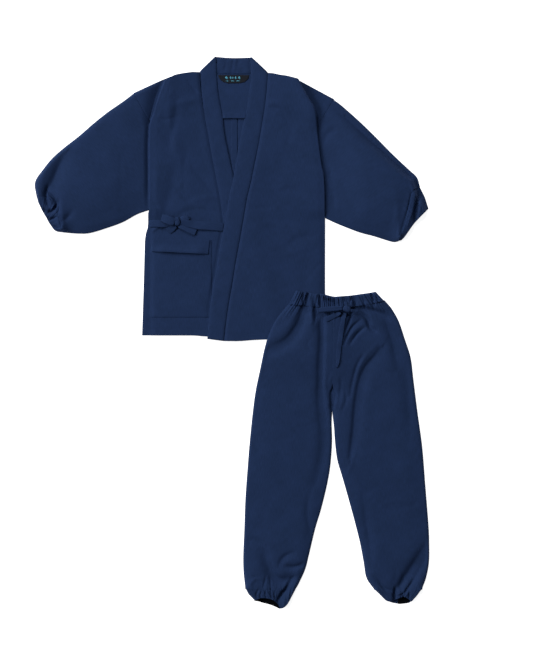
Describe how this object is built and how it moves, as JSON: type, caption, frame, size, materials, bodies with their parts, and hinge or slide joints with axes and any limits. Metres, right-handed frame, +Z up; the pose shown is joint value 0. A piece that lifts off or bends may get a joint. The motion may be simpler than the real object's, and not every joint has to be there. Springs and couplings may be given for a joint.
{
  "type": "samue jacket and trousers set",
  "caption": "Cotton samue laid out flat: a work jacket with a band collar, tied at the side with a bow, and loose trousers with a drawstring waist and gathered ankles.",
  "frame": {"origin": "middle of the floor area that the laid-out set covers, at the floor", "axes": "+Z up from the floor, +Y towards the jacket's collar, +X towards the wearer's left, where the trousers lie"},
  "size_m": [1.123, 1.5721, 0.0275],
  "materials": {
    "navy cotton": "plain woven, matt",
    "navy cotton band": "plain woven, matt, doubled and topstitched",
    "woven black label": "close woven, slight sheen"
  },
  "bodies": {
    "root": {"jacket_back_right": "navy cotton", "jacket_back_left": "navy cotton", "jacket_front_right": "navy cotton", "jacket_front_left": "navy cotton", "sleeve_right": "navy cotton", "sleeve_left": "navy cotton", "cuff_right": "navy cotton", "cuff_left": "navy cotton", "pocket": "navy cotton", "pocket_flap": "navy cotton", "tie_front": "navy cotton", "tie_side": "navy cotton", "bow_tail_right": "navy cotton", "bow_tail_left": "navy cotton", "bow_loop_left": "navy cotton", "bow_loop_right": "navy cotton", "bow_knot": "navy cotton", "trousers_front_right": "navy cotton", "trousers_front_left": "navy cotton", "trousers_back_right": "navy cotton", "trousers_back_left": "navy cotton", "waistband": "navy cotton", "ankle_band_right": "navy cotton", "ankle_band_left": "navy cotton", "drawstring_loop": "navy cotton", "drawstring_strap": "navy cotton", "drawstring_end": "navy cotton", "drawstring_tail": "navy cotton", "drawstring_knot": "navy cotton", "collar": "navy cotton band", "jacket_yoke_lining": "navy cotton band", "neck_label": "woven black label"}
  },
  "joints": []
}
